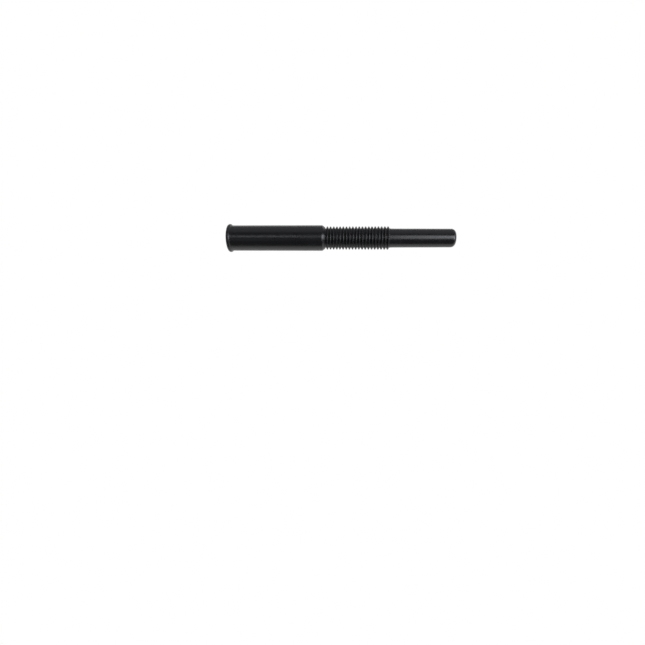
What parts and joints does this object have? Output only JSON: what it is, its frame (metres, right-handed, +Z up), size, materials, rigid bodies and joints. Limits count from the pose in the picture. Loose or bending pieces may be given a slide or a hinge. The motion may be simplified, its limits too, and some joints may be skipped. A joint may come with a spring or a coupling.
{
  "type": "flexible pouring spout",
  "caption": "Flexible pouring spout for a fuel can: a flanged inlet tube, a bellows that bends every way, and a slim nozzle with a turned-in mouth.",
  "frame": {"origin": "centre of the inlet's end face, on the axis of the inlet's bore", "axes": "+X along the spout, from the inlet to the nozzle's tip; +Z up; the spout is round about X"},
  "size_m": [0.25, 0.0308, 0.0308],
  "materials": {
    "inlet_polyethylene": "satin",
    "bellows_polyethylene": "satin",
    "nozzle_polyethylene": "satin"
  },
  "bodies": {
    "inlet": {"inlet_tube": "inlet_polyethylene"},
    "web_01": {"bellows_root_01": "bellows_polyethylene"},
    "fold_01": {"bellows_fold_01": "bellows_polyethylene"},
    "web_02": {"bellows_root_02": "bellows_polyethylene"},
    "fold_02": {"bellows_fold_02": "bellows_polyethylene"},
    "web_03": {"bellows_root_03": "bellows_polyethylene"},
    "fold_03": {"bellows_fold_03": "bellows_polyethylene"},
    "web_04": {"bellows_root_04": "bellows_polyethylene"},
    "fold_04": {"bellows_fold_04": "bellows_polyethylene"},
    "web_05": {"bellows_root_05": "bellows_polyethylene"},
    "fold_05": {"bellows_fold_05": "bellows_polyethylene"},
    "web_06": {"bellows_root_06": "bellows_polyethylene"},
    "fold_06": {"bellows_fold_06": "bellows_polyethylene"},
    "web_07": {"bellows_root_07": "bellows_polyethylene"},
    "fold_07": {"bellows_fold_07": "bellows_polyethylene"},
    "web_08": {"bellows_root_08": "bellows_polyethylene"},
    "fold_08": {"bellows_fold_08": "bellows_polyethylene"},
    "web_09": {"bellows_root_09": "bellows_polyethylene"},
    "fold_09": {"bellows_fold_09": "bellows_polyethylene"},
    "web_10": {"bellows_root_10": "bellows_polyethylene"},
    "fold_10": {"bellows_fold_10": "bellows_polyethylene"},
    "web_11": {"bellows_root_11": "bellows_polyethylene"},
    "fold_11": {"bellows_fold_11": "bellows_polyethylene"},
    "web_12": {"bellows_root_12": "bellows_polyethylene"},
    "fold_12": {"bellows_fold_12": "bellows_polyethylene"},
    "web_13": {"bellows_root_13": "bellows_polyethylene"},
    "fold_13": {"bellows_fold_13": "bellows_polyethylene"},
    "web_14": {"bellows_root_14": "bellows_polyethylene"},
    "fold_14": {"bellows_fold_14": "bellows_polyethylene"},
    "web_15": {"bellows_root_15": "bellows_polyethylene"},
    "fold_15": {"bellows_fold_15": "bellows_polyethylene"},
    "web_16": {"bellows_root_16": "bellows_polyethylene"},
    "fold_16": {"bellows_fold_16": "bellows_polyethylene"},
    "web_17": {"bellows_root_17": "bellows_polyethylene"},
    "fold_17": {"bellows_fold_17": "bellows_polyethylene"},
    "web_18": {"bellows_root_18": "bellows_polyethylene"},
    "fold_18": {"bellows_fold_18": "bellows_polyethylene"},
    "web_19": {"bellows_root_19": "bellows_polyethylene"},
    "fold_19": {"bellows_fold_19": "bellows_polyethylene"},
    "web_20": {"bellows_root_20": "bellows_polyethylene"},
    "fold_20": {"bellows_fold_20": "bellows_polyethylene"},
    "web_21": {"bellows_root_21": "bellows_polyethylene"},
    "nozzle": {"nozzle_tube": "nozzle_polyethylene"}
  },
  "joints": [
    {"name": "side_01", "type": "hinge", "parent": "inlet", "child": "web_01", "pos_m": [0.1088, 0, 0], "axis": [0, 0, 1], "range_deg": [-4.29, 4.29], "deforming": ["bellows_root_01"]},
    {"name": "bend_01", "type": "hinge", "parent": "web_01", "child": "fold_01", "pos_m": [0.1088, 0, 0], "axis": [0, 1, 0], "range_deg": [-4.29, 4.29], "deforming": ["bellows_root_01"]},
    {"name": "side_02", "type": "hinge", "parent": "fold_01", "child": "web_02", "pos_m": [0.11229, 0, 0], "axis": [0, 0, 1], "range_deg": [-4.29, 4.29], "deforming": ["bellows_root_02"]},
    {"name": "bend_02", "type": "hinge", "parent": "web_02", "child": "fold_02", "pos_m": [0.11229, 0, 0], "axis": [0, 1, 0], "range_deg": [-4.29, 4.29], "deforming": ["bellows_root_02"]},
    {"name": "side_03", "type": "hinge", "parent": "fold_02", "child": "web_03", "pos_m": [0.11578, 0, 0], "axis": [0, 0, 1], "range_deg": [-4.29, 4.29], "deforming": ["bellows_root_03"]},
    {"name": "bend_03", "type": "hinge", "parent": "web_03", "child": "fold_03", "pos_m": [0.11578, 0, 0], "axis": [0, 1, 0], "range_deg": [-4.29, 4.29], "deforming": ["bellows_root_03"]},
    {"name": "side_04", "type": "hinge", "parent": "fold_03", "child": "web_04", "pos_m": [0.11927, 0, 0], "axis": [0, 0, 1], "range_deg": [-4.29, 4.29], "deforming": ["bellows_root_04"]},
    {"name": "bend_04", "type": "hinge", "parent": "web_04", "child": "fold_04", "pos_m": [0.11927, 0, 0], "axis": [0, 1, 0], "range_deg": [-4.29, 4.29], "deforming": ["bellows_root_04"]},
    {"name": "side_05", "type": "hinge", "parent": "fold_04", "child": "web_05", "pos_m": [0.12276, 0, 0], "axis": [0, 0, 1], "range_deg": [-4.29, 4.29], "deforming": ["bellows_root_05"]},
    {"name": "bend_05", "type": "hinge", "parent": "web_05", "child": "fold_05", "pos_m": [0.12276, 0, 0], "axis": [0, 1, 0], "range_deg": [-4.29, 4.29], "deforming": ["bellows_root_05"]},
    {"name": "side_06", "type": "hinge", "parent": "fold_05", "child": "web_06", "pos_m": [0.12625, 0, 0], "axis": [0, 0, 1], "range_deg": [-4.29, 4.29], "deforming": ["bellows_root_06"]},
    {"name": "bend_06", "type": "hinge", "parent": "web_06", "child": "fold_06", "pos_m": [0.12625, 0, 0], "axis": [0, 1, 0], "range_deg": [-4.29, 4.29], "deforming": ["bellows_root_06"]},
    {"name": "side_07", "type": "hinge", "parent": "fold_06", "child": "web_07", "pos_m": [0.12974, 0, 0], "axis": [0, 0, 1], "range_deg": [-4.29, 4.29], "deforming": ["bellows_root_07"]},
    {"name": "bend_07", "type": "hinge", "parent": "web_07", "child": "fold_07", "pos_m": [0.12974, 0, 0], "axis": [0, 1, 0], "range_deg": [-4.29, 4.29], "deforming": ["bellows_root_07"]},
    {"name": "side_08", "type": "hinge", "parent": "fold_07", "child": "web_08", "pos_m": [0.13323, 0, 0], "axis": [0, 0, 1], "range_deg": [-4.29, 4.29], "deforming": ["bellows_root_08"]},
    {"name": "bend_08", "type": "hinge", "parent": "web_08", "child": "fold_08", "pos_m": [0.13323, 0, 0], "axis": [0, 1, 0], "range_deg": [-4.29, 4.29], "deforming": ["bellows_root_08"]},
    {"name": "side_09", "type": "hinge", "parent": "fold_08", "child": "web_09", "pos_m": [0.13672, 0, 0], "axis": [0, 0, 1], "range_deg": [-4.29, 4.29], "deforming": ["bellows_root_09"]},
    {"name": "bend_09", "type": "hinge", "parent": "web_09", "child": "fold_09", "pos_m": [0.13672, 0, 0], "axis": [0, 1, 0], "range_deg": [-4.29, 4.29], "deforming": ["bellows_root_09"]},
    {"name": "side_10", "type": "hinge", "parent": "fold_09", "child": "web_10", "pos_m": [0.14021, 0, 0], "axis": [0, 0, 1], "range_deg": [-4.29, 4.29], "deforming": ["bellows_root_10"]},
    {"name": "bend_10", "type": "hinge", "parent": "web_10", "child": "fold_10", "pos_m": [0.14021, 0, 0], "axis": [0, 1, 0], "range_deg": [-4.29, 4.29], "deforming": ["bellows_root_10"]},
    {"name": "side_11", "type": "hinge", "parent": "fold_10", "child": "web_11", "pos_m": [0.1437, 0, 0], "axis": [0, 0, 1], "range_deg": [-4.29, 4.29], "deforming": ["bellows_root_11"]},
    {"name": "bend_11", "type": "hinge", "parent": "web_11", "child": "fold_11", "pos_m": [0.1437, 0, 0], "axis": [0, 1, 0], "range_deg": [-4.29, 4.29], "deforming": ["bellows_root_11"]},
    {"name": "side_12", "type": "hinge", "parent": "fold_11", "child": "web_12", "pos_m": [0.14719, 0, 0], "axis": [0, 0, 1], "range_deg": [-4.29, 4.29], "deforming": ["bellows_root_12"]},
    {"name": "bend_12", "type": "hinge", "parent": "web_12", "child": "fold_12", "pos_m": [0.14719, 0, 0], "axis": [0, 1, 0], "range_deg": [-4.29, 4.29], "deforming": ["bellows_root_12"]},
    {"name": "side_13", "type": "hinge", "parent": "fold_12", "child": "web_13", "pos_m": [0.15068, 0, 0], "axis": [0, 0, 1], "range_deg": [-4.29, 4.29], "deforming": ["bellows_root_13"]},
    {"name": "bend_13", "type": "hinge", "parent": "web_13", "child": "fold_13", "pos_m": [0.15068, 0, 0], "axis": [0, 1, 0], "range_deg": [-4.29, 4.29], "deforming": ["bellows_root_13"]},
    {"name": "side_14", "type": "hinge", "parent": "fold_13", "child": "web_14", "pos_m": [0.15417, 0, 0], "axis": [0, 0, 1], "range_deg": [-4.29, 4.29], "deforming": ["bellows_root_14"]},
    {"name": "bend_14", "type": "hinge", "parent": "web_14", "child": "fold_14", "pos_m": [0.15417, 0, 0], "axis": [0, 1, 0], "range_deg": [-4.29, 4.29], "deforming": ["bellows_root_14"]},
    {"name": "side_15", "type": "hinge", "parent": "fold_14", "child": "web_15", "pos_m": [0.15766, 0, 0], "axis": [0, 0, 1], "range_deg": [-4.29, 4.29], "deforming": ["bellows_root_15"]},
    {"name": "bend_15", "type": "hinge", "parent": "web_15", "child": "fold_15", "pos_m": [0.15766, 0, 0], "axis": [0, 1, 0], "range_deg": [-4.29, 4.29], "deforming": ["bellows_root_15"]},
    {"name": "side_16", "type": "hinge", "parent": "fold_15", "child": "web_16", "pos_m": [0.16115, 0, 0], "axis": [0, 0, 1], "range_deg": [-4.29, 4.29], "deforming": ["bellows_root_16"]},
    {"name": "bend_16", "type": "hinge", "parent": "web_16", "child": "fold_16", "pos_m": [0.16115, 0, 0], "axis": [0, 1, 0], "range_deg": [-4.29, 4.29], "deforming": ["bellows_root_16"]},
    {"name": "side_17", "type": "hinge", "parent": "fold_16", "child": "web_17", "pos_m": [0.16464, 0, 0], "axis": [0, 0, 1], "range_deg": [-4.29, 4.29], "deforming": ["bellows_root_17"]},
    {"name": "bend_17", "type": "hinge", "parent": "web_17", "child": "fold_17", "pos_m": [0.16464, 0, 0], "axis": [0, 1, 0], "range_deg": [-4.29, 4.29], "deforming": ["bellows_root_17"]},
    {"name": "side_18", "type": "hinge", "parent": "fold_17", "child": "web_18", "pos_m": [0.16813, 0, 0], "axis": [0, 0, 1], "range_deg": [-4.29, 4.29], "deforming": ["bellows_root_18"]},
    {"name": "bend_18", "type": "hinge", "parent": "web_18", "child": "fold_18", "pos_m": [0.16813, 0, 0], "axis": [0, 1, 0], "range_deg": [-4.29, 4.29], "deforming": ["bellows_root_18"]},
    {"name": "side_19", "type": "hinge", "parent": "fold_18", "child": "web_19", "pos_m": [0.17162, 0, 0], "axis": [0, 0, 1], "range_deg": [-4.29, 4.29], "deforming": ["bellows_root_19"]},
    {"name": "bend_19", "type": "hinge", "parent": "web_19", "child": "fold_19", "pos_m": [0.17162, 0, 0], "axis": [0, 1, 0], "range_deg": [-4.29, 4.29], "deforming": ["bellows_root_19"]},
    {"name": "side_20", "type": "hinge", "parent": "fold_19", "child": "web_20", "pos_m": [0.17511, 0, 0], "axis": [0, 0, 1], "range_deg": [-4.29, 4.29], "deforming": ["bellows_root_20"]},
    {"name": "bend_20", "type": "hinge", "parent": "web_20", "child": "fold_20", "pos_m": [0.17511, 0, 0], "axis": [0, 1, 0], "range_deg": [-4.29, 4.29], "deforming": ["bellows_root_20"]},
    {"name": "side_21", "type": "hinge", "parent": "fold_20", "child": "web_21", "pos_m": [0.1786, 0, 0], "axis": [0, 0, 1], "range_deg": [-4.29, 4.29], "deforming": ["bellows_root_21"]},
    {"name": "bend_21", "type": "hinge", "parent": "web_21", "child": "nozzle", "pos_m": [0.1786, 0, 0], "axis": [0, 1, 0], "range_deg": [-4.29, 4.29], "deforming": ["bellows_root_21"]}
  ]
}
